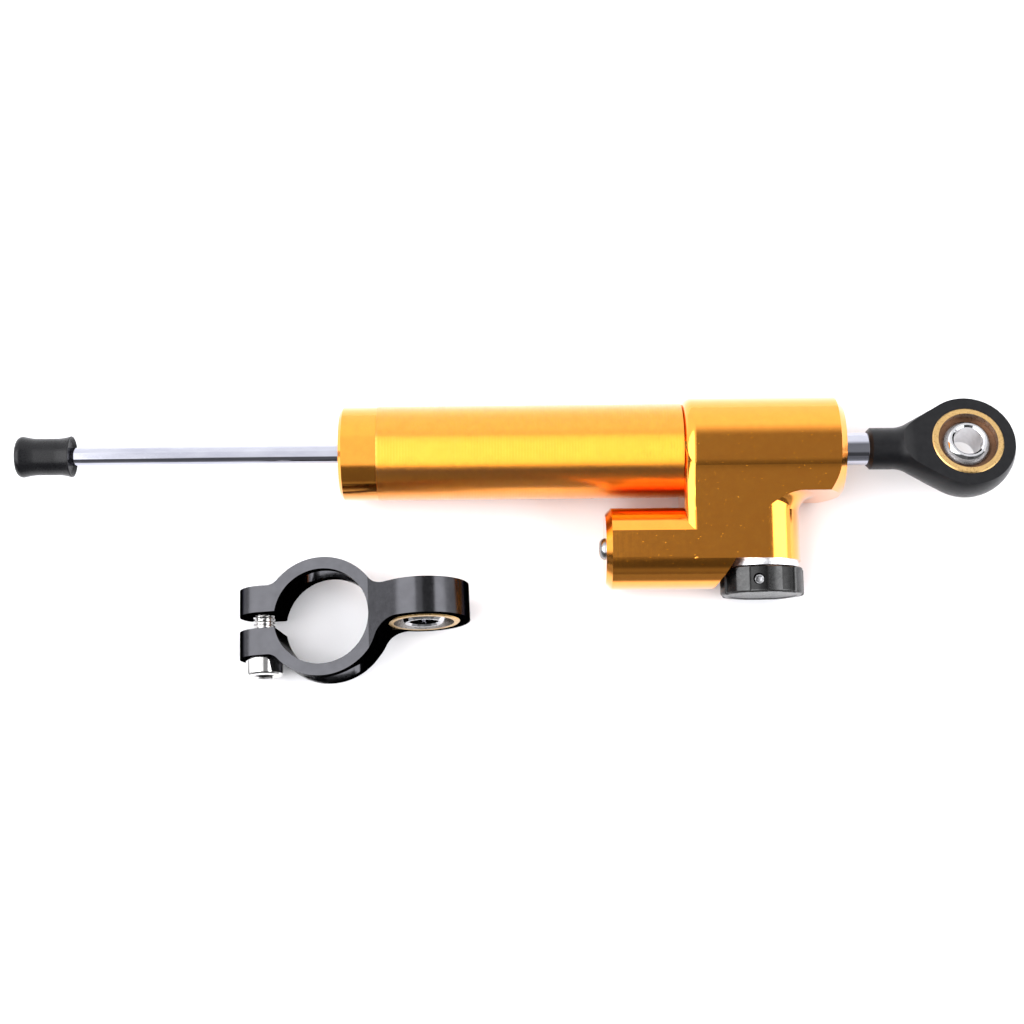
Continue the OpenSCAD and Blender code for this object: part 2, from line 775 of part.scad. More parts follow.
// Rod through the whole damper: thick to the rod eye, thin to the bumper, stepped for the piston
module piston_rod() {
    tail_r = tail_rod_d / 2;
    spigot_r = piston_spigot_d / 2;
    nut_x = piston_x - nut_h;
    front_x = piston_x + piston_len;
    thread_r = rod_thread_d / 2;
    color("silver") turned([
        [bumper_x - bumper_grip, 0], [bumper_x - bumper_grip, tail_r], [nut_x, tail_r], [nut_x, spigot_r],
        [front_x, spigot_r], [front_x, rod_d / 2], [shank_x, rod_d / 2], [shank_x, thread_r],
        [shank_x + rod_thread_len, thread_r], [shank_x + rod_thread_len, 0],
    ]);
}

// Piston on the rod, grooved for its guide band
module piston() {
    color("silver") difference() {
        sleeve(piston_x, piston_len, tube_bore - 2 * piston_clear, piston_spigot_d + 2 * seat_fit);
        sleeve(band_x - run_fit, band_w + 2 * run_fit, tube_bore, band_inner_d - 2 * run_fit);
    }
}

// Slippery band that runs on the tube's bore
module piston_band() {
    color("white") sleeve(band_x, band_w, band_d, band_inner_d);
}

// Nut that holds the piston against the rod's shoulder
module piston_nut() {
    color("silver") difference() {
        translate([piston_x - nut_h, 0, 0]) rotate([0, 90, 0])
            cylinder(d = nut_af / cos(30), h = nut_h, $fn = 6);
        bar(piston_x - nut_h - past, nut_h + 2 * past, piston_spigot_d + 2 * seat_fit);
    }
}

// Soft stop on the tail rod, waisted between two flared ends, with a domed tip
module tail_bumper() {
    steps = 12;
    barrel = bumper_len - bumper_dome;
    swell = (bumper_d - bumper_waist) / 2;
    left = bumper_x - bumper_len;
    color("dimgray") difference() {
        turned(concat(
            [[bumper_x, 0]],
            [for (i = [0:steps]) let (side = 2 * i / steps - 1)
                [bumper_x - barrel * i / steps, bumper_waist / 2 + swell * side * side]],
            [for (a = [15:15:75])
                [bumper_x - barrel - bumper_dome * sin(a), bumper_d / 2 * pow(cos(a), bumper_round)]],
            [[left, 0]]
        ));
        bar(bumper_x - bumper_grip, bumper_grip + past, tail_rod_d + 2 * seat_fit);
    }
}

// The rod eye's own frame: Z along the ball's bore
module at_rod_eye() {
    rotate([-eye_roll, 0, 0]) children();
}

// Point where a line from p touches a circle of radius r at the origin, on the side of p's own y
function touch(p, r) =
    let (side = sign(p[1]), a = atan2(p[1], p[0]) - side * acos(r / norm(p)))
    [r * cos(a), r * sin(a)];

// Section of the rod eye's shank and neck, as radius across and x up, with a fillet where they meet
module neck_section() {
    r = shank_d / 2;
    corner_x = -neck_reach;
    flank = touch([corner_x, r], eye_d / 2 - fillet_bite);
    slope = atan2(flank[1] - r, flank[0] - corner_x);
    run = neck_fillet * tan(slope / 2);
    difference() {
        polygon([
            [0, shank_x], [r - eye_edge, shank_x], [r, shank_x + eye_edge], [r, corner_x - run],
            [r + run * sin(slope), corner_x + run * cos(slope)], [flank[1], flank[0]], [0, flank[0]],
        ]);
        translate([r + neck_fillet - fillet_bite, corner_x - run]) circle(r = neck_fillet);
    }
}

// Eye screwed on the rod: turned as a ball on a flared shank, then milled flat on two sides
module rod_eye() {
    color("dimgray") at_rod_eye() difference() {
        union() {
            sphere(d = eye_d);
            rotate([90, 0, 90]) rotate_extrude() neck_section();
        }
        for (side = [0, 1]) mirror([0, 0, side])
            translate([-flat_reach, eye_d, eye_t / 2]) rotate([90, 0, 0]) {
                cube([2 * eye_d, eye_d, 2 * eye_d]);
                translate([0, flat_cutter / 2, 0]) cylinder(d = flat_cutter, h = 2 * eye_d);
            }
        translate([0, 0, -eye_d]) cylinder(d = bush_d + 2 * seat_fit, h = 2 * eye_d);
        bar(shank_x - past, rod_thread_len + 2 * past, rod_thread_d + 2 * seat_fit);
    }
}

// Brass ring pressed into an eye of thickness t
module bearing_bush(t) {
    inner = liner_d / 2 + run_fit;
    outer = bush_d / 2;
    h = t / 2 + bush_proud;
    rotate_extrude() polygon([
        [inner, -h], [outer - bush_proud, -h], [outer, -h + bush_proud],
        [outer, h - bush_proud], [outer - bush_proud, h], [inner, h],
    ]);
}

// Short liner that the ball turns in, sunk between the brass ring's faces so that the ball can tilt
module bearing_liner() {
    outer = liner_d / 2;
    seat = ball_d / 2 + run_fit;
    mouth_r = sqrt(seat * seat - liner_half * liner_half);
    rotate_extrude() difference() {
        polygon([
            [outer, -liner_half], [outer, liner_half], [mouth_r, liner_half],
            [mouth_r - liner_half / 2, 0], [mouth_r, -liner_half],
        ]);
        circle(r = seat);
    }
}

// Hardened ball with flat faces and a bore for the mounting bolt
module bearing_ball() {
    h = ball_w / 2;
    rotate_extrude() difference() {
        circle(d = ball_d);
        translate([-ball_d, -ball_d]) square([ball_d + ball_bore / 2, 2 * ball_d]);
        for (side = [0, 1]) mirror([0, side]) {
            translate([0, h]) square(ball_d);
            polygon([
                [0, h + past], [ball_bore / 2 + ball_edge + past, h + past],
                [ball_bore / 2, h - ball_edge], [0, h - ball_edge],
            ]);
        }
    }
}

module rod_eye_bush() {
    color("goldenrod") at_rod_eye() bearing_bush(eye_t);
}

module rod_eye_liner() {
    color("peru") at_rod_eye() bearing_liner();
}

module rod_eye_ball() {
    color("silver") at_rod_eye() bearing_ball();
}

// The clamp's own frame: Z along its bore, X towards its eye. It stands on the rims of eye and ears
module in_clamp() {
    translate([clamp_x, clamp_y, clamp_z]) rotate([0, 0, clamp_yaw]) rotate([0, -clamp_tilt, 0]) children();
}

// The clamp eye's own frame: Z along the ball's bore, towards the screw head's side
module at_clamp_eye() {
    in_clamp() translate([clamp_eye_x, (clamp_eye_top - clamp_eye_bottom) / 2, 0])
        rotate([90, 0, 0]) children();
}

// Corner between the clamp ring and a straight edge at height h, filled to a fillet of radius r
module ring_fillet(h, r) {
    cy = h + r - fillet_bite;
    cx = sqrt(pow(clamp_r + r - fillet_bite, 2) - pow(cy, 2));
    k = clamp_r / (clamp_r + r);
    difference() {
        polygon([[0, 0], [cx * k, cy * k], [cx, cy], [cx, 0]]);
        translate([cx, cy]) circle(r = r);
    }
}

// The clamp as it is milled along its bore, with no holes and as thick as the blank
module clamp_plan() {
    blank = 2 * clamp_eye_d;
    translate([0, 0, -clamp_eye_d]) {
        cylinder(r = clamp_r, h = blank);
        translate([-clamp_reach, -ear_half, 0]) cube([clamp_reach, 2 * ear_half, blank]);
        translate([0, -clamp_eye_bottom, 0]) cube([clamp_reach, clamp_eye_t, blank]);
        for (side = [0, 1]) mirror([0, side, 0]) mirror([1, 0, 0])
            linear_extrude(blank) ring_fillet(ear_half, ear_fillet);
        linear_extrude(blank) ring_fillet(clamp_eye_top, arm_fillet);
        mirror([0, 1, 0]) linear_extrude(blank) ring_fillet(clamp_eye_bottom, belly_fillet);
    }
}

// The clamp as it is milled along its screw, with no holes and as thick as the blank
module clamp_side() {
    blank = 2 * clamp_eye_d;
    root = [clamp_bore / 2 - clamp_eye_x, clamp_w / 2];
    flank = touch(root, clamp_eye_d / 2 - fillet_bite);
    rotate([90, 0, 0]) translate([0, 0, -clamp_eye_d]) {
        translate([-screw_x, -clamp_w / 2, 0]) cube([screw_x + clamp_bore / 2, clamp_w, blank]);
        translate([-screw_x, 0, 0]) cylinder(d = clamp_w, h = blank);
        translate([clamp_eye_x, 0, 0]) cylinder(d = clamp_eye_d, h = blank);
        translate([clamp_eye_x, 0, 0]) linear_extrude(blank)
            polygon([root, flank, [0, 0], [flank[0], -flank[1]], [root[0], -root[1]]]);
    }
}

// A lightening slot right through the clamp ring, along the screw
module clamp_slot() {
    straight = slot_len - slot_w;
    rotate([90, 0, 0]) translate([slot_x, 0, -clamp_eye_d]) {
        translate([-straight / 2, -slot_w / 2, 0]) cube([straight, slot_w, 2 * clamp_eye_d]);
        for (side = [-1, 1]) translate([side * straight / 2, 0, 0]) cylinder(d = slot_w, h = 2 * clamp_eye_d);
    }
}

// Clamp: one milled piece with ring, ears and the eye for its own spherical bearing
module clamp_body() {
    color("dimgray") in_clamp() difference() {
        intersection() {
            clamp_plan();
            clamp_side();
        }
        translate([0, 0, -clamp_eye_d]) cylinder(d = clamp_bore, h = 2 * clamp_eye_d);
        translate([-clamp_reach, -slit / 2, -clamp_eye_d]) cube([clamp_reach, slit, 2 * clamp_eye_d]);
        clamp_slot();
        translate([-screw_x, 0, 0]) rotate([90, 0, 0]) {
            translate([0, 0, -clamp_eye_d]) cylinder(d = screw_d + 2 * run_fit, h = clamp_eye_d);
            cylinder(d = screw_d + screw_play, h = clamp_eye_d);
            translate([0, 0, ear_half - counterbore])
                cylinder(d = screw_head_d + screw_play, h = clamp_eye_d);
        }
        translate([clamp_eye_x, clamp_eye_d, 0]) rotate([90, 0, 0])
            cylinder(d = bush_d + 2 * seat_fit, h = 2 * clamp_eye_d);
    }
}

// Socket-headed screw that closes the clamp, threaded into the upper ear
module clamp_screw() {
    color("silver") in_clamp() translate([-screw_x, 0, 0]) rotate([90, 0, 0]) difference() {
        union() {
            translate([0, 0, ear_half - counterbore]) cylinder(d = screw_head_d, h = screw_head_h);
            translate([0, 0, ear_half - counterbore - screw_len]) cylinder(d = screw_d, h = screw_len + past);
        }
        translate([0, 0, ear_half - counterbore + screw_head_h / 2])
            cylinder(d = screw_socket / cos(30), h = screw_head_h, $fn = 6);
    }
}

module clamp_eye_bush() {
    color("goldenrod") at_clamp_eye() bearing_bush(clamp_eye_t);
}

module clamp_eye_liner() {
    color("peru") at_clamp_eye() bearing_liner();
}

module clamp_eye_ball() {
    color("silver") at_clamp_eye() bearing_ball();
}

body_block();
cylinder_tube();
tail_cap();
tail_guide_bush();
tail_rod_seal();
tail_wiper();
cap_o_ring();
tube_o_ring();
head_guide_bush();
head_rod_seal();
head_wiper();
reservoir_plug();
plug_o_ring();
bleed_screw();
floating_piston();
floating_piston_ring();
reservoir_spring();
index_ring();
spindle_retainer();
valve_spindle();
spindle_o_ring();
knob();
knob_set_screw();
detent_ball();
detent_spring();
piston_rod();
piston();
piston_band();
piston_nut();
tail_bumper();
rod_eye();
rod_eye_bush();
rod_eye_liner();
rod_eye_ball();
clamp_body();
clamp_screw();
clamp_eye_bush();
clamp_eye_liner();
clamp_eye_ball();
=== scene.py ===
"""Dresses the steering damper: finishes, fine detail, floor, light and camera. Sizes are in millimetres
until a mesh is made, and places are those of the CAD frame."""
import math

import bmesh
import bpy
import numpy as np
from mathutils import Matrix


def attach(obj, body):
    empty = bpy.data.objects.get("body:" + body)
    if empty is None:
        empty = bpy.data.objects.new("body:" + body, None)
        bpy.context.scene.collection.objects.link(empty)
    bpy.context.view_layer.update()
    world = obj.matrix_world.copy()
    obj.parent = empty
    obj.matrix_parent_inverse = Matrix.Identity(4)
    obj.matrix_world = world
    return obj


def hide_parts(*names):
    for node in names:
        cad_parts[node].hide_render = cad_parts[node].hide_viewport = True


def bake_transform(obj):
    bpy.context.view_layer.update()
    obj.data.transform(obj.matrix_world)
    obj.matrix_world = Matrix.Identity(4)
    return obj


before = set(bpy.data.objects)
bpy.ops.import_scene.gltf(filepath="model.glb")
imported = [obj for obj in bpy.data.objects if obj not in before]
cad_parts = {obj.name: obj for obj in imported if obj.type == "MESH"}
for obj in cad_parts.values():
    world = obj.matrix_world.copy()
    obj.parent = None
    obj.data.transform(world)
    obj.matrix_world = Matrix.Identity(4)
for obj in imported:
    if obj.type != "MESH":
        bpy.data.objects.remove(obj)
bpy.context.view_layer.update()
MM = 0.001


# ---- Camera -------------------------------------------------------------------------------------
# The damper and its clamp lie on a table and are photographed from above, a little from the side
# that the reservoir is on. Place and lens come from a fit to measured edges of the parts.
EYE = np.array([-123.75, -142.39, 435.77])
LOOK_AZIMUTH, LOOK_ELEVATION, LOOK_ROLL = (math.radians(a) for a in (-89.49, 73.963, -1.059))
LENS_PER_WIDTH = 1659.9 / 1024
SENSOR = 36


def camera_axes():
    """Right, up and backward unit vectors of a camera that looks along its azimuth and elevation
    and is then rolled about its line of sight."""
    back = np.array([
        math.cos(LOOK_ELEVATION) * math.cos(LOOK_AZIMUTH),
        math.cos(LOOK_ELEVATION) * math.sin(LOOK_AZIMUTH),
        math.sin(LOOK_ELEVATION),
    ])
    right = np.cross([0, 0, 1], back)
    right /= np.linalg.norm(right)
    up = np.cross(back, right)
    cos_roll, sin_roll = math.cos(LOOK_ROLL), math.sin(LOOK_ROLL)
    return right * cos_roll + up * sin_roll, up * cos_roll - right * sin_roll, back


camera_data = bpy.data.cameras.new("camera")
camera_data.sensor_width = SENSOR
camera_data.lens = LENS_PER_WIDTH * SENSOR
camera_data.clip_start = 0.01
camera = bpy.data.objects.new("camera", camera_data)
bpy.context.scene.collection.objects.link(camera)
turned_to = np.eye(4)
turned_to[:3, :3] = np.stack(camera_axes(), 1)
turned_to[:3, 3] = EYE * MM
camera.matrix_world = Matrix(turned_to.tolist())
bpy.context.scene.camera = camera
bpy.context.scene.view_settings.view_transform = "Standard"


# ---- Table --------------------------------------------------------------------------------------
# A plain white table top that takes soft shadows. Seen at a low angle, its near side is painted dark grey,
# a painted reflection of the dark room, as the dark bands along the undersides of tube, head and reservoir
# tell.
TABLE_Z = -14.5
TABLE_SIZE = 4000
TABLE_WHITE = (0.84, 0.835, 0.85)
# Colour of the painted reflection of the dark room, on the table's near side where it is seen at a low angle.
TABLE_PAINTED_REFLECTION = (0.12, 0.12, 0.12)
TABLE_ROUGHNESS = 0.6
GRAZING = (0.45, 0.6)
NEAR_SIDE = (-55, -35)
NOISE_ROUGHNESS = 0.55


class Finish:
    """A material under construction: node() adds a node, link() joins an output to an input, and
    shader is the Principled node that ends the chain."""

    def __init__(self, name, colour, roughness, metallic=0.0):
        self.material = bpy.data.materials.new(name)
        self.material.use_nodes = True
        self.tree = self.material.node_tree
        self.shader = self.tree.nodes["Principled BSDF"]
        self.shader.inputs["Base Color"].default_value = (*colour, 1)
        self.shader.inputs["Roughness"].default_value = roughness
        self.shader.inputs["Metallic"].default_value = metallic
        self.place = self.node("ShaderNodeTexCoord").outputs["Object"]
        self.height = None

    def node(self, kind, **values):
        made = self.tree.nodes.new(kind)
        for key, value in values.items():
            if hasattr(made, key):
                setattr(made, key, value)
            else:
                made.inputs[key.replace("_", " ")].default_value = value
        return made

    def link(self, output, socket):
        self.tree.links.new(output, socket)

    def stretched(self, scale):
        """Object coordinates scaled along each axis, for a grain that runs one way."""
        mapping = self.node("ShaderNodeMapping")
        mapping.inputs["Scale"].default_value = scale
        self.link(self.place, mapping.inputs["Vector"])
        return mapping.outputs["Vector"]

    def noise(self, per_mm, detail=3.0, place=None):
        """Noise with that many features to the millimetre, between 0 and 1."""
        made = self.node("ShaderNodeTexNoise", Scale=per_mm / MM, Detail=detail, Roughness=NOISE_ROUGHNESS)
        self.link(place or self.place, made.inputs["Vector"])
        return made.outputs["Fac"]

    def between(self, value, low, high, from_low=0.3, from_high=0.7):
        """Value carried from one range to another, without going past its ends."""
        made = self.node("ShaderNodeMapRange")
        ends = {"From Min": from_low, "From Max": from_high, "To Min": low, "To Max": high}
        for name, number in ends.items():
            made.inputs[name].default_value = number
        self.link(value, made.inputs["Value"])
        return made.outputs["Result"]

    def tint(self, value, low, high, from_low=0.3, from_high=0.7):
        """Base colour that goes from low to high with value."""
        mix = self.node("ShaderNodeMix", data_type="RGBA")
        for socket, colour in ((mix.inputs[6], low), (mix.inputs[7], high)):
            socket.default_value = (*colour, 1)
        self.link(self.between(value, 0, 1, from_low, from_high), mix.inputs[0])
        self.link(mix.outputs[2], self.shader.inputs["Base Color"])

    def polish(self, value, low, high, from_low=0.3, from_high=0.7):
        """Roughness that goes from low to high with value."""
        self.link(self.between(value, low, high, from_low, from_high), self.shader.inputs["Roughness"])

    def bump(self, value, depth):
        """Relief of that depth in millimetres, on top of any relief put in before."""
        made = self.node("ShaderNodeBump", Strength=1.0, Distance=depth * MM)
        self.link(value, made.inputs["Height"])
        if self.height:
            self.link(self.height, made.inputs["Normal"])
        self.height = made.outputs["Normal"]
        self.link(self.height, self.shader.inputs["Normal"])


def mesh_piece(name, points, faces, material, smooth=True):
    """An object from points in millimetres, an array of rows x, y, z, and faces as rows of corners."""
    mesh = bpy.data.meshes.new(name)
    mesh.from_pydata((np.asarray(points, float) * MM).tolist(), [], np.asarray(faces).tolist())
    mesh.polygons.foreach_set("use_smooth", [smooth] * len(mesh.polygons))
    mesh.update()
    mesh.materials.append(material)
    made = bpy.data.objects.new(name, mesh)
    bpy.context.scene.collection.objects.link(made)
    return made


table_top = Finish("table_white", TABLE_WHITE, TABLE_ROUGHNESS)
grazing = table_top.between(table_top.node("ShaderNodeLayerWeight").outputs["Facing"], 0, 1, *GRAZING)
across_table = table_top.node("ShaderNodeSeparateXYZ")
table_top.link(table_top.place, across_table.inputs[0])
near_side = table_top.between(across_table.outputs["Y"], 1, 0, *(y * MM for y in NEAR_SIDE))
# Painted reflection: the table's colour turns dark grey where it is seen at a low angle on its near side.
painted_reflection = table_top.node("ShaderNodeMath", operation="MULTIPLY")
table_top.link(grazing, painted_reflection.inputs[0])
table_top.link(near_side, painted_reflection.inputs[1])
table_top.tint(painted_reflection.outputs[0], TABLE_WHITE, TABLE_PAINTED_REFLECTION, 0, 1)
half = TABLE_SIZE / 2
corners = [[x, y, TABLE_Z] for x, y in ((-half, -half), (half, -half), (half, half), (-half, half))]
table = mesh_piece("table", corners, [[0, 1, 2, 3]], table_top.material, smooth=False)


# ---- Light --------------------------------------------------------------------------------------
# Two bright soft boxes left and right of the table, a paler wall behind it, a dim ceiling with a dark
# corner, and a dark room on the near side, all as light from the sky, for every polished part to mirror.
WALL, SOFT_BOX, LEFT_CEILING, CEILING, ROOM, DARK_CORNER = 1.65, 5.0, 1.45, 0.33, 0.16, 0.09
SKY_COLOUR = (0.98, 0.985, 1, 1)


def sky():
    """World light as a function of direction. The angle out of the plane through Y and Z, towards +X,
    and the angle within it, from straight up towards +Y, pick the brightness by soft-edged bands, each
    mixed over the one before. A layer is a strength and a band of each angle: its ends and softness in
    degrees."""
    world = bpy.data.worlds.new("studio")
    world.use_nodes = True
    tree = world.node_tree
    tree.nodes.clear()
    new, link = tree.nodes.new, tree.links.new
    parts = new("ShaderNodeSeparateXYZ")
    link(new("ShaderNodeTexCoord").outputs["Generated"], parts.inputs[0])

    def math_node(operation, first, second):
        made = new("ShaderNodeMath")
        made.operation = operation
        for socket, value in zip(made.inputs, (first, second)):
            if isinstance(value, (int, float)):
                socket.default_value = value
            else:
                link(value, socket)
        return made.outputs[0]

    def band(angle, low, high, soft):
        """1 between low and high degrees, 0 outside, with edges soft degrees wide."""
        edges = []
        for start, end in ((low - soft / 2, low + soft / 2), (high + soft / 2, high - soft / 2)):
            made = new("ShaderNodeMapRange")
            made.interpolation_type = "SMOOTHSTEP"
            flip = start > end
            made.inputs["From Min"].default_value = math.radians(min(start, end))
            made.inputs["From Max"].default_value = math.radians(max(start, end))
            made.inputs["To Min"].default_value = 1.0 if flip else 0.0
            made.inputs["To Max"].default_value = 0.0 if flip else 1.0
            link(angle, made.inputs["Value"])
            edges.append(made.outputs[0])
        return math_node("MULTIPLY", *edges)

    across = math_node("ARCSINE", parts.outputs["X"], 0)
    along = math_node("ARCTAN2", parts.outputs["Y"], parts.outputs["Z"])
    light = None
    layers = (
        (ROOM, (across, -84, 78, 6), (along, -100, -42, 8)),
        (SOFT_BOX, (across, -80, -14, 8), (along, -52, 27, 6)),
        (SOFT_BOX, (across, 30, 72, 5), (along, -60, 27, 6)),
        (LEFT_CEILING, (across, -16, 2, 7), (along, -46, 27, 10)),
        (CEILING, (across, 0, 29, 6), (along, -80, 30, 30)),
        (DARK_CORNER, (across, 1, 29, 6), (along, -72, -42, 14)),
    )
    for strength, *bands in layers:
        mask = math_node("MULTIPLY", band(*bands[0]), band(*bands[1]))
        mix = new("ShaderNodeMix")
        link(mask, mix.inputs["Factor"])
        if light is None:
            mix.inputs["A"].default_value = WALL
        else:
            link(light, mix.inputs["A"])
        mix.inputs["B"].default_value = strength
        light = mix.outputs["Result"]
    background = new("ShaderNodeBackground")
    background.inputs["Color"].default_value = SKY_COLOUR
    link(light, background.inputs["Strength"])
    link(background.outputs[0], new("ShaderNodeOutputWorld").inputs["Surface"])
    return world


bpy.context.scene.world = sky()


# ---- Cylinder tube ------------------------------------------------------------------------------
# Aluminium tube that the piston runs in, turned with a fine feed that leaves a ring at each turn,
# and anodised gold. Its thinner end seats in the block and the tail cap closes the other one.
GOLD = (0.94, 0.34, 0.022)
GOLD_DEEP = (0.91, 0.315, 0.018)
CLEAR_SKIN = 0.8
CAP_X, BACK_X = -161.4, -78.4
TUBE_R, TUBE_BORE_R, SPIGOT_R, SPIGOT_LEN = 13.0, 10.5, 12.0, 13.0
TUBE_EDGE_LEN, TUBE_EDGE_DEPTH = 0.3, 0.1
FEED, RING_DEPTH, STEPS_PER_RING = 0.8, 0.03, 4
DOUBLED = 1e-8


def tidy(piece):
    """Joins doubled points, drops faces without area and turns the faces outwards."""
    mesh = bmesh.new()
    mesh.from_mesh(piece.data)
    bmesh.ops.remove_doubles(mesh, verts=mesh.verts, dist=DOUBLED)
    bmesh.ops.dissolve_degenerate(mesh, dist=DOUBLED, edges=mesh.edges)
    bmesh.ops.recalc_face_normals(mesh, faces=mesh.faces)
    mesh.to_mesh(piece.data)
    mesh.free()


def lathe(name, profile, material, sides=96, closed=False):
    """Surface of revolution about X: the profile's points, as x and radius, are turned through a full
    circle. An open profile starts and ends on the axis, and a closed one is a ring's section."""
    profile = np.asarray(profile, float)
    turn = np.linspace(0, 2 * math.pi, sides, endpoint=False)
    x = np.repeat(profile[:, 0], sides)
    around = np.tile(turn, len(profile))
    r = np.repeat(profile[:, 1], sides)
    points = np.stack([x, r * np.cos(around), r * np.sin(around)], 1)
    rows = len(profile) if closed else len(profile) - 1
    row, col = np.divmod(np.arange(rows * sides), sides)
    low, high = row * sides, (row + 1) % len(profile) * sides
    nxt = (col + 1) % sides
    faces = np.stack([low + col, low + nxt, high + nxt, high + col], 1)
    made = mesh_piece(name, points, faces, material)
    tidy(made)
    return made


def crisp(piece, angle=40):
    """Smooth shading that breaks at edges sharper than angle."""
    mesh = piece.data
    mesh.polygons.foreach_set("use_smooth", [True] * len(mesh.polygons))
    mesh.set_sharp_from_angle(angle=math.radians(angle))


def gold_finish(name, roughness, grain=0.0015):
    """Gold anodised aluminium: dye and polish a little uneven, a fine grain, and a clear sealed skin."""
    made = Finish(name, GOLD, roughness, metallic=1.0)
    made.tint(made.noise(0.35), GOLD_DEEP, GOLD)
    made.polish(made.noise(0.8), roughness * 0.85, roughness * 1.25)
    made.bump(made.noise(6.0, detail=2), grain)
    made.shader.inputs["Coat Weight"].default_value = CLEAR_SKIN
    made.shader.inputs["Coat Roughness"].default_value = roughness
    return made


def turned_tube():
    """Outside with a sine ring at each feed, the step down to the spigot, and the plain bore."""
    count = int((BACK_X - CAP_X) / FEED) * STEPS_PER_RING
    x = np.linspace(CAP_X + TUBE_EDGE_LEN, BACK_X, count + 1)
    r = TUBE_R - RING_DEPTH / 2 + RING_DEPTH / 2 * np.cos(2 * math.pi * (x - CAP_X) / FEED)
    outside = np.stack([x, r], 1)
    end_x = BACK_X + SPIGOT_LEN
    spigot_and_bore = [
        [BACK_X, SPIGOT_R], [end_x, SPIGOT_R], [end_x, TUBE_BORE_R], [CAP_X, TUBE_BORE_R],
        [CAP_X, TUBE_R - TUBE_EDGE_DEPTH],
    ]
    return np.vstack([outside, spigot_and_bore])


tube_gold = gold_finish("gold_turned", roughness=0.33, grain=0.0003)
tube_gold.shader.inputs["Anisotropic"].default_value = 1.0
tube_gold.shader.inputs["Anisotropic Rotation"].default_value = 0.25
around_tube = tube_gold.node("ShaderNodeTangent", direction_type="RADIAL", axis="X")
tube_gold.link(around_tube.outputs[0], tube_gold.shader.inputs["Tangent"])
tube = lathe("turned_tube", turned_tube(), tube_gold.material, closed=True)
crisp(tube)
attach(tube, "damper")
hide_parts("cylinder_tube")


# ---- Tail cap -----------------------------------------------------------------------------------
# Gold anodised collar, turned smooth, that plugs the tube's tail end and guides the thin end of the
# rod. Its spigot is sealed in the tube by an O-ring. The reservoir's plug has the same finish.
def dress(material, slot, *nodes):
    """Gives CAD nodes that stay in view a material. The slot argument is not used."""
    for name in nodes:
        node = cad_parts[name]
        node.data.materials.clear()
        node.data.materials.append(material)


smooth_gold = gold_finish("gold_smooth", roughness=0.13)
dress(smooth_gold.material, "gold", "tail_cap", "reservoir_plug")


# ---- Valve block --------------------------------------------------------------------------------
# Machined from one bar, with the head that guides the rod, the web, the knob boss and the reservoir
# in one, then gold anodised. The cutter leaves faint lines across it, and some dust lies on it.
TOOL_MARK_DEPTH = 0.006
SPECKS_PER_MM, SPECK_HEIGHT, SPECK_EDGE = 0.9, 0.02, (0.02, 0.07)
milled_gold = gold_finish("gold_milled", roughness=0.12)
tool_marks = milled_gold.noise(1.6, detail=3, place=milled_gold.stretched((1, 0.03, 0.03)))
milled_gold.bump(tool_marks, TOOL_MARK_DEPTH)
specks = milled_gold.node("ShaderNodeTexVoronoi", Scale=SPECKS_PER_MM / MM)
milled_gold.link(milled_gold.place, specks.inputs["Vector"])
milled_gold.bump(milled_gold.between(specks.outputs["Distance"], 1, 0, *SPECK_EDGE), SPECK_HEIGHT)
dress(milled_gold.material, "gold", "body_block")


# ---- Bleed screw --------------------------------------------------------------------------------
# Button-headed steel screw in the middle of the reservoir's plug, to let the air out. It lies with
# the block's roll about the rod, which seats head and reservoir on one plane.
HEAD_D, RESERVOIR_D, RESERVOIR_Y, PLUG_X = 29, 22.4, -27.2, -99.6
BLOCK_ROLL = math.asin((HEAD_D - RESERVOIR_D) / 2 / -RESERVOIR_Y)
BLEED_HEAD_R, BLEED_HEAD_H, BLEED_SHANK_R, BLEED_TIP = 3.0, 1.5, 1.5, 2.6
BLEED_ARC, BLEED_CROWN_INSET = 1.25, 1.4
BLEED_SOCKET, BLEED_SOCKET_DEPTH = 2.0, 1.05
SOCKET_MOUTH, SOCKET_BEVEL, SOCKET_POINT = 0.62, 0.08, 1.1


def rolled(points, angle=BLOCK_ROLL):
    """Points turned about the rod's axis by the block's roll."""
    x, y, z = np.asarray(points, float).T
    return np.stack([
        x, y * math.cos(angle) - z * math.sin(angle), y * math.sin(angle) + z * math.cos(angle),
    ], 1)


def hexagon(turn, across_flats):
    """Radius of a hexagon's outline at each angle: the flat's distance over the cosine from its middle."""
    from_middle = np.mod(turn, math.pi / 3) - math.pi / 6
    return across_flats / 2 / np.cos(from_middle)


def spun(rows, sides=96):
    """Points and faces around the Z axis. Each row gives its height and its radius, as one number or as
    a function of the angle. The first and last rows close on the axis."""
    turn = np.linspace(0, 2 * math.pi, sides, endpoint=False)
    points = []
    for height, radius in rows:
        r = radius(turn) if callable(radius) else np.full(sides, float(radius))
        points.append(np.stack([r * np.cos(turn), r * np.sin(turn), np.full(sides, float(height))], 1))
    row, col = np.arange(len(rows) - 1)[:, None] * sides, np.arange(sides)[None, :]
    nxt, up = (col + 1) % sides, row + sides
    return np.concatenate(points), np.stack([row + col, row + nxt, up + nxt, up + col], -1).reshape(-1, 4)


def socket(across_flats, top, depth):
    """Rows of a hexagon socket, from its bevelled mouth down to its drilled floor."""
    def outline(turn):
        return hexagon(turn, across_flats)
    return [
        (top, across_flats * SOCKET_MOUTH), (top - SOCKET_BEVEL * across_flats, outline),
        (top - depth, outline), (top - depth * SOCKET_POINT, 0),
    ]


def add_piece(name, points, faces, finish, body, slot, replaced, angle=35):
    """Makes a piece, turns its faces outwards, and lets it ride on its body in place of CAD nodes."""
    made = mesh_piece(name, points, faces, finish.material)
    tidy(made)
    crisp(made, angle)
    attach(made, body)
    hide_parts(*replaced)
    return made


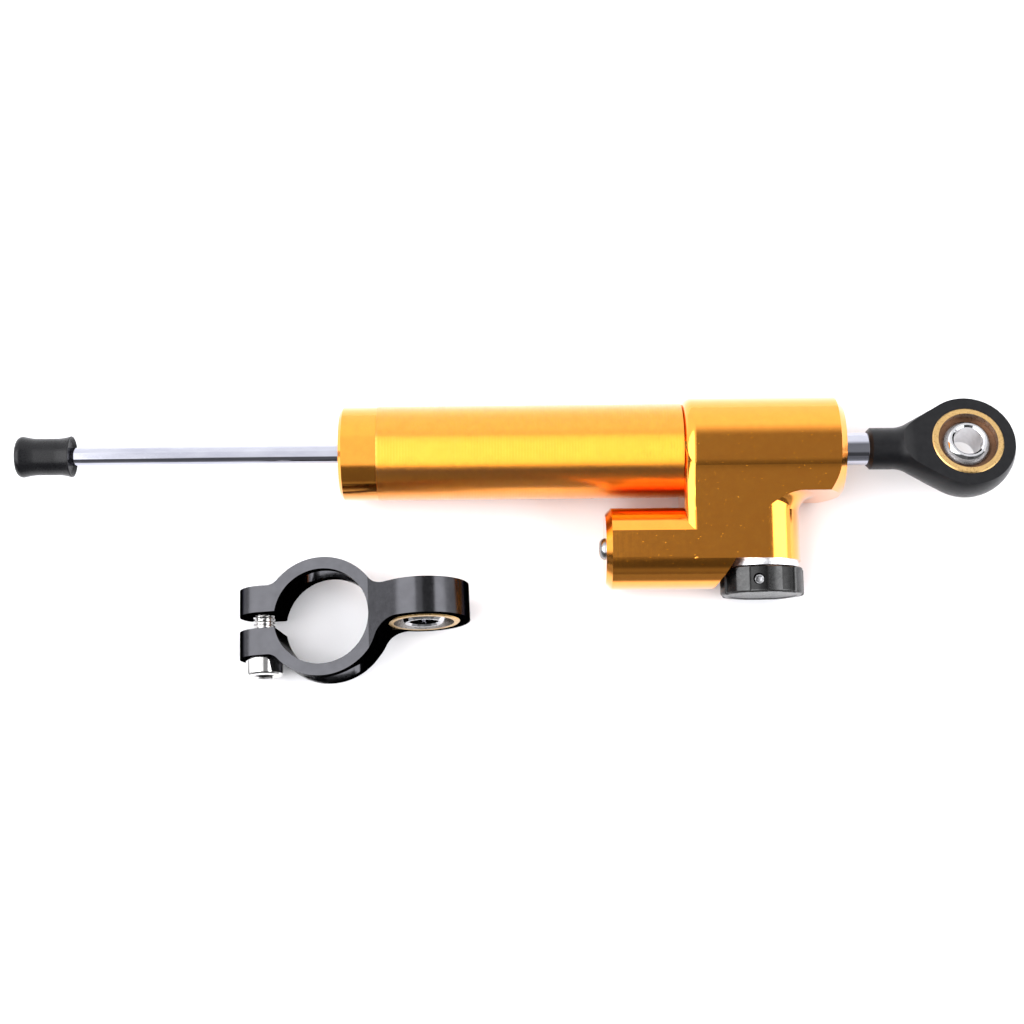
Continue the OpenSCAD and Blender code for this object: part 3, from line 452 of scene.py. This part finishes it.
def steel_finish(name, colour=(0.72, 0.72, 0.73), roughness=0.14):
    """Bright steel: faint clouds in colour and polish, and fine scratches."""
    made = Finish(name, colour, roughness, metallic=1.0)
    made.tint(made.noise(0.7), [c * 0.86 for c in colour], colour)
    made.polish(made.noise(1.6, detail=4), roughness * 0.7, roughness * 1.5)
    made.bump(made.noise(7.0, place=made.stretched((1, 0.3, 1))), 0.0015)
    return made


bleed_rows = [(-BLEED_TIP, 0), (-BLEED_TIP, BLEED_SHANK_R), (0, BLEED_SHANK_R), (0, BLEED_HEAD_R)]
bleed_rows += [
    (BLEED_HEAD_H * math.sin(a) / math.sin(BLEED_ARC),
     BLEED_HEAD_R - BLEED_CROWN_INSET * (1 - math.cos(a)) / (1 - math.cos(BLEED_ARC)))
    for a in np.linspace(0, 1, 9) * BLEED_ARC
]
bleed_rows += socket(BLEED_SOCKET, BLEED_HEAD_H, BLEED_SOCKET_DEPTH)
points, faces = spun(bleed_rows)
points = rolled(np.stack([PLUG_X - points[:, 2], RESERVOIR_Y + points[:, 0], points[:, 1]], 1))
button_steel = steel_finish("button_steel", (0.3, 0.3, 0.31), roughness=0.2)
add_piece("button_screw", points, faces, button_steel, "damper", "steel", ["bleed_screw"])


# ---- Index ring ---------------------------------------------------------------------------------
# Bead-blasted steel washer on the boss, with the hollows that the knob's ball clicks into.
index_steel = steel_finish("index_steel", (0.78, 0.78, 0.8), roughness=0.34)
index_steel.bump(index_steel.noise(9.0), 0.004)
dress(index_steel.material, "steel", "index_ring")


# ---- Knob ---------------------------------------------------------------------------------------
# Black anodised aluminium knob with broad flutes for the fingers, locked on the spindle by a socket
# set screw in one of them.
KNOB_X, KNOB_FACE_Y, KNOB_R, KNOB_H = -57.0, 33.3, 11.4, 7.2
FLUTES, FLUTE_DEPTH, FLUTE_SHARE, FLUTE_FLANK = 8, 0.6, 0.54, 0.02
KNOB_EDGE, KNOB_FOOT, DISH_DEPTH, DISH_RIM, DISH_FLOOR = 0.7, 0.35, 0.25, 1.9, 2.3
SPINDLE_R, SPINDLE_HOLE_DEPTH = 3.0, 4.6
KNOB_CREASE = 28
FLUTE_WALL_DEPTH, FLUTE_WALL_END = 1.5, 0.75
SET_SCREW_ANGLE = math.radians(102)
SCREW_HOLE_R, SCREW_START, SCREW_END = 1.55, 3.2, 9.3
SET_SCREW_R, SET_SCREW_TIP_R, SET_SCREW_EDGE, SET_SCREW_GAP = 1.45, 1.2, 0.3, 0.1
SET_SCREW_SOCKET, SET_SCREW_SOCKET_DEPTH = 1.5, 1.4


def black_finish(name, shade):
    """Black anodised aluminium of that shade, a little uneven in colour and polish."""
    made = Finish(name, (shade, shade, shade * 1.05), 0.3, metallic=0.9)
    made.tint(made.noise(0.6), [shade * 0.85] * 3, [shade * 1.15] * 3)
    made.polish(made.noise(2.0, detail=4), 0.22, 0.38)
    made.bump(made.noise(8.0), 0.003)
    return made


def fluted(shrink):
    """Outline of the knob: a circle, let in by the flute's depth over part of each pitch, with steep
    flanks. A flute is centred on the set screw."""
    def outline(turn):
        pitch = 2 * math.pi / FLUTES
        from_middle = np.abs(np.mod(turn - SET_SCREW_ANGLE + pitch / 2, pitch) - pitch / 2)
        inside = np.clip((pitch / 2 * FLUTE_SHARE - from_middle) / FLUTE_FLANK + 0.5, 0, 1)
        return KNOB_R - shrink - FLUTE_DEPTH * inside * inside * (3 - 2 * inside)
    return outline


def at_knob(points):
    """Points whose Z is the height over the knob's inner face, put in place on the rolled block."""
    x, y, z = np.asarray(points, float).T
    return rolled(np.stack([KNOB_X + x, -KNOB_FACE_Y - z, y], 1))


def along_rim(rows, sides=72):
    """Turned piece whose axis is that of the set screw, from rows of distance to the knob's axis and
    radius."""
    points, faces = spun(rows, sides)
    aside, up, out = points.T
    cos_turn, sin_turn = math.cos(SET_SCREW_ANGLE), math.sin(SET_SCREW_ANGLE)
    x, y = out * cos_turn - aside * sin_turn, out * sin_turn + aside * cos_turn
    return at_knob(np.stack([x, y, KNOB_H / 2 + up], 1)), faces


def cut_away(piece, cutter):
    """Cuts the cutter's shape out of the piece and removes the cutter."""
    cut = piece.modifiers.new("cut", "BOOLEAN")
    cut.operation, cut.solver, cut.object = "DIFFERENCE", "EXACT", cutter
    result = bpy.data.meshes.new_from_object(piece.evaluated_get(bpy.context.evaluated_depsgraph_get()))
    piece.modifiers.clear()
    piece.data = result
    bpy.data.objects.remove(cutter)
    crisp(piece, KNOB_CREASE)


knob_black = black_finish("knob_black", 0.052)
# The flutes' hollows get a darker black: painted shade, standing for the light that falls less into them.
flute_painted_shade = black_finish("flute_painted_shade", 0.018)
knob_rows = [
    (SPINDLE_HOLE_DEPTH, 0), (SPINDLE_HOLE_DEPTH, SPINDLE_R), (0, SPINDLE_R), (0, fluted(KNOB_FOOT)),
    (KNOB_FOOT, fluted(0)),
]
knob_rows += [
    (KNOB_H - KNOB_EDGE + KNOB_EDGE * math.sin(a), fluted(KNOB_EDGE * (1 - math.cos(a))))
    for a in np.linspace(0, math.pi / 2, 7)
]
dish_z = KNOB_H - DISH_DEPTH
knob_rows += [(KNOB_H, KNOB_R - DISH_RIM), (dish_z, KNOB_R - DISH_FLOOR), (dish_z, 0)]
points, faces = spun(knob_rows, sides=480)
knob_piece = add_piece(
    "fluted_knob", at_knob(points), faces, knob_black, "control_knob", "black_knob", ["knob"], KNOB_CREASE,
)
# Faces in the flutes' hollows, below their top end, take the painted shade's darker material.
knob_piece.data.materials.append(flute_painted_shade.material)
middles = np.array([face.center for face in knob_piece.data.polygons]) / MM
x, y, z = rolled(middles, -BLOCK_ROLL).T
from_axis = np.hypot(x - KNOB_X, z)
flute_shade_faces = (from_axis < KNOB_R - FLUTE_DEPTH / 2) & (from_axis > KNOB_R - FLUTE_WALL_DEPTH)
flute_shade_faces &= -y < KNOB_FACE_Y + KNOB_H - FLUTE_WALL_END
knob_piece.data.polygons.foreach_set("material_index", flute_shade_faces.astype(int))
hole_rows = [(SCREW_START, 0), (SCREW_START, SCREW_HOLE_R), (KNOB_R + 1, SCREW_HOLE_R), (KNOB_R + 1, 0)]
hole = mesh_piece("screw_hole", *along_rim(hole_rows), knob_black.material)
tidy(hole)
cut_away(knob_piece, hole)
screw_foot = SCREW_START + SET_SCREW_GAP
screw_rows = [(screw_foot, 0), (screw_foot, SET_SCREW_R), (SCREW_END - SET_SCREW_EDGE, SET_SCREW_R)]
screw_rows += [(SCREW_END, SET_SCREW_TIP_R), *socket(SET_SCREW_SOCKET, SCREW_END, SET_SCREW_SOCKET_DEPTH)]
screw_steel = steel_finish("set_screw_steel", (0.2, 0.2, 0.205), roughness=0.1)
add_piece("set_screw", *along_rim(screw_rows), screw_steel, "control_knob", "steel", ["knob_set_screw"])


# ---- Rod ----------------------------------------------------------------------------------------
# Ground and hard-chromed steel rod, thick where it carries the rod eye and thin to the tail.
chrome = Finish("chrome", (0.47, 0.475, 0.54), 0.05, metallic=1.0)
clouds = chrome.noise(0.25, place=chrome.stretched((0.3, 1, 1)))
chrome.tint(clouds, (0.41, 0.415, 0.485), (0.5, 0.505, 0.57))
chrome.polish(chrome.noise(2.5, detail=5), 0.04, 0.12)
chrome.bump(chrome.noise(5.0, detail=1, place=chrome.stretched((1, 0.05, 0.05))), 0.0004)
dress(chrome.material, "chrome", "piston_rod")


# ---- Tail bumper --------------------------------------------------------------------------------
# Moulded black rubber stop pushed over the thin end of the rod, waisted between two flared lips.
BUMPER_X, BUMPER_LEN, LIP_R, WAIST_R, TAIL_ROD_R = -246.0, 15.4, 5.7, 5.1, 2.5
BODY_START, BODY_MARGIN = 1.9, 2.2
LEFT_FLARE, LEFT_FLARE_POWER, RIGHT_FLARE = 0.3, 1.6, 0.28
ROUND_LEN, ROUND_DEPTH, ROUND_ANGLES = 1.5, 1.1, (1.5, 0.2)
DOME_RISE, DOME_GAP = 0.4, 0.05
# The hollow right face, as depth from the end and radius.
MOUTH = (
    (0.05, LIP_R - 0.12), (0, LIP_R - 0.4), (0.9, LIP_R - 1.1), (1.1, TAIL_ROD_R + 0.2),
    (1.3, TAIL_ROD_R), (12, TAIL_ROD_R), (12, 0),
)
rubber = Finish("bumper_rubber", (0.006, 0.006, 0.007), 0.3)
rubber.shader.inputs["Specular IOR Level"].default_value = 0.22
rubber.tint(rubber.noise(0.4), (0.004, 0.004, 0.005), (0.007, 0.007, 0.008))
rubber.polish(rubber.noise(1.5, detail=4), 0.22, 0.38)
rubber.bump(rubber.noise(4.0), 0.006)


def bumper_profile():
    """Radius along the bumper: a waist, and towards each lip a flare that grows with a power of the
    way into the lip's zone; a domed left end; a hollow face round the rod at the right one."""
    left = BUMPER_X - BUMPER_LEN
    share = np.linspace(0, 1, 40)
    flare = np.clip((share - (1 - RIGHT_FLARE)) / RIGHT_FLARE, 0, 1) ** 2
    flare += np.clip((LEFT_FLARE - share) / LEFT_FLARE, 0, 1) ** LEFT_FLARE_POWER
    along = left + BODY_START + share * (BUMPER_LEN - BODY_MARGIN)
    body = np.stack([along, WAIST_R + (LIP_R - WAIST_R) * flare], 1)
    face_r = LIP_R - ROUND_DEPTH
    round_left = [
        [left + BODY_START - ROUND_LEN * math.sin(a), LIP_R - ROUND_DEPTH * (1 - math.cos(a))]
        for a in np.linspace(*ROUND_ANGLES, 7)
    ]
    dome_left = [[left + DOME_RISE * (r / face_r) ** 2, r] for r in np.linspace(0, face_r - DOME_GAP, 8)]
    mouth = [[BUMPER_X - depth, r] for depth, r in MOUTH]
    return np.vstack([dome_left, round_left, body, mouth])


bumper = lathe("rubber_bumper", bumper_profile(), rubber.material)
crisp(bumper)
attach(bumper, "rod")
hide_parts("tail_bumper")


# ---- Rod eye ------------------------------------------------------------------------------------
# Turned steel eye, flatted on two sides and finished in matt black, screwed on the rod's thick end.
eye_black = Finish("eye_black", (0.007, 0.007, 0.008), 0.36)
eye_black.shader.inputs["Specular IOR Level"].default_value = 0.22
eye_black.tint(eye_black.noise(0.5), (0.003, 0.003, 0.004), (0.006, 0.006, 0.007))
eye_black.polish(eye_black.noise(1.2, detail=4), 0.3, 0.42)
eye_black.bump(eye_black.noise(5.0, detail=4), 0.006)
dress(eye_black.material, "black_eye", "rod_eye")


# ---- Spherical bearings -------------------------------------------------------------------------
# Each eye holds a brass ring, a dark bronze liner pressed into it, and a polished steel ball that
# turns and tilts in the liner.
def ring_brass(name, axis):
    """Brass on the ring's faces, which look along that axis, and bare steel inside its bore."""
    made = steel_finish(name, (0.62, 0.41, 0.17), roughness=0.3)
    facing = made.node("ShaderNodeSeparateXYZ")
    made.link(made.node("ShaderNodeTexCoord").outputs["Normal"], facing.inputs[0])
    size = made.node("ShaderNodeMath", operation="ABSOLUTE")
    made.link(facing.outputs[axis], size.inputs[0])
    made.tint(size.outputs[0], (0.5, 0.48, 0.46), (0.6, 0.39, 0.16), 0.3, 0.6)
    return made


bronze = steel_finish("bronze", (0.16, 0.085, 0.05), roughness=0.35)
mirror_steel = steel_finish("mirror_steel", (0.68, 0.68, 0.7), roughness=0.05)
dress(ring_brass("rod_eye_brass", "Z").material, "brass", "rod_eye_bush")
dress(ring_brass("clamp_eye_brass", "Y").material, "brass", "clamp_eye_bush")
dress(bronze.material, "bronze", "rod_eye_liner", "clamp_eye_liner")
dress(mirror_steel.material, "steel", "rod_eye_ball", "clamp_eye_ball")


# ---- Clamp --------------------------------------------------------------------------------------
# Milled aluminium, anodised dark grey: a split ring for the tube with two ears, lightening slots,
# and an arm that ends in an eye for the second bearing.
clamp_grey = Finish("clamp_anodised", (0.052, 0.052, 0.057), 0.16, metallic=1.0)
clamp_grey.shader.inputs["Specular Tint"].default_value = (0, 0, 0, 1)
clamp_grey.tint(clamp_grey.noise(0.3), (0.047, 0.047, 0.051), (0.056, 0.056, 0.061))
clamp_grey.polish(clamp_grey.noise(1.2, detail=4), 0.12, 0.22)
clamp_grey.bump(clamp_grey.noise(6.0), 0.001)
dress(clamp_grey.material, "clamp_grey", "clamp_body")


# ---- Clamp screw --------------------------------------------------------------------------------
# M6 socket-headed screw, bright zinc plated, that draws the clamp's ears together.
CLAMP_X, CLAMP_Y, CLAMP_YAW = -175.5, -45.7, math.radians(2)
CLAMP_W, CLAMP_EYE_D, CLAMP_EYE_X, SCREW_X = 13.3, 25.0, 26.8, 17.4
CLAMP_TILT = math.asin((CLAMP_EYE_D - CLAMP_W) / 2 / (CLAMP_EYE_X + SCREW_X))
CLAMP_Z = TABLE_Z + CLAMP_EYE_D / 2 - CLAMP_EYE_X * math.sin(CLAMP_TILT)
EAR_HALF, COUNTERBORE, SCREW_LEN, SCREW_R = 9.5, 1.2, 16.0, 3.0
THREAD_PITCH, THREAD_DEPTH, THREAD_LEAD, THREAD_CREST, THREAD_FLANK = 1.0, 0.6, 0.4, 0.15, 0.7
STEPS_PER_PITCH = 10
HEAD_H, SCREW_HEAD_R, SCREW_SOCKET, SCREW_SOCKET_DEPTH = 6.0, 5.0, 5.0, 3.0
# The head's outline, as height over the seat's far end and how far it is let in.
HEAD_EDGE = ((0.6, 0), (0.15, 0.3), (0, 0.75))
SEAT_CHAMFER = 0.15


def in_clamp(points):
    """Points of the clamp's own frame, tilted and turned to where it stands on the table."""
    x, y, z = np.asarray(points, float).T
    cos_tilt, sin_tilt = math.cos(CLAMP_TILT), math.sin(CLAMP_TILT)
    cos_yaw, sin_yaw = math.cos(CLAMP_YAW), math.sin(CLAMP_YAW)
    x, z = x * cos_tilt - z * sin_tilt, x * sin_tilt + z * cos_tilt
    x, y = x * cos_yaw - y * sin_yaw, x * sin_yaw + y * cos_yaw
    return np.stack([x + CLAMP_X, y + CLAMP_Y, z + CLAMP_Z], 1)


def thread_row(height):
    """Radius of a screw thread at one height: a trapezium wave that winds once round in a pitch."""
    def outline(turn):
        phase = np.mod(height / THREAD_PITCH - turn / (2 * math.pi), 1)
        flank = np.clip((np.abs(phase - 0.5) * 2 - THREAD_CREST) / THREAD_FLANK, 0, 1)
        return SCREW_R - THREAD_DEPTH * flank
    return height, outline


seat = -EAR_HALF + COUNTERBORE
tip, head_end = seat + SCREW_LEN, seat - HEAD_H
screw_rows = [(tip, 0), (tip, SCREW_R - THREAD_DEPTH)]
screw_rows += [thread_row(h) for h in np.arange(tip - THREAD_LEAD, seat, -THREAD_PITCH / STEPS_PER_PITCH)]
screw_rows += [(seat, SCREW_R), (seat, SCREW_HEAD_R - SEAT_CHAMFER), (seat - SEAT_CHAMFER, SCREW_HEAD_R)]
screw_rows += [(head_end + height, SCREW_HEAD_R - inset) for height, inset in HEAD_EDGE]
screw_rows += [(2 * head_end - h, r) for h, r in socket(SCREW_SOCKET, head_end, SCREW_SOCKET_DEPTH)]
points, faces = spun(screw_rows, sides=72)
points = in_clamp(np.stack([points[:, 0] - SCREW_X, points[:, 2], points[:, 1]], 1))
plated_steel = steel_finish("plated_steel", (0.78, 0.77, 0.76), roughness=0.1)
add_piece("socket_screw", points, faces, plated_steel, "clamp", "steel", ["clamp_screw"], angle=25)


# ---- Inside -------------------------------------------------------------------------------------
# What the block, tube and cap enclose: guides, seals, piston, valve spindle, click ball and springs.
rubber_seal = Finish("seal_rubber", (0.02, 0.02, 0.021), 0.5)
rubber_seal.tint(rubber_seal.noise(0.5), (0.016, 0.016, 0.017), (0.028, 0.028, 0.029))
rubber_seal.bump(rubber_seal.noise(5.0), 0.006)
band_plastic = Finish("guide_band", (0.78, 0.76, 0.68), 0.5)
band_plastic.tint(band_plastic.noise(0.5), (0.7, 0.67, 0.58), (0.82, 0.8, 0.73))
spring_steel = steel_finish("spring_steel", (0.45, 0.45, 0.47), roughness=0.26)
piston_alloy = steel_finish("piston_alloy", (0.66, 0.67, 0.68), roughness=0.3)
bright_steel = steel_finish("bright_steel")
INSIDE = (
    (rubber_seal, "seal_rubber", ("tail_rod_seal", "tail_wiper", "cap_o_ring", "tube_o_ring", "head_rod_seal",
                                  "head_wiper", "plug_o_ring", "floating_piston_ring", "spindle_o_ring")),
    (band_plastic, "band", ("piston_band",)),
    (bronze, "bronze", ("tail_guide_bush", "head_guide_bush")),
    (piston_alloy, "piston_alloy", ("piston", "floating_piston")),
    (spring_steel, "spring_steel", ("detent_spring",)),
    (bright_steel, "steel", ("valve_spindle", "spindle_retainer", "detent_ball", "piston_nut")),
)
for finish, slot_name, names in INSIDE:
    dress(finish.material, slot_name, *names)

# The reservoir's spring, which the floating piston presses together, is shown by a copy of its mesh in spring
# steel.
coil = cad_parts["reservoir_spring"]
spring = bpy.data.objects.new("pressed_spring", coil.data.copy())
bpy.context.scene.collection.objects.link(spring)
spring.matrix_world = coil.matrix_world.copy()
spring.data.materials.clear()
spring.data.materials.append(spring_steel.material)
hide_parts("reservoir_spring")
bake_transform(spring)
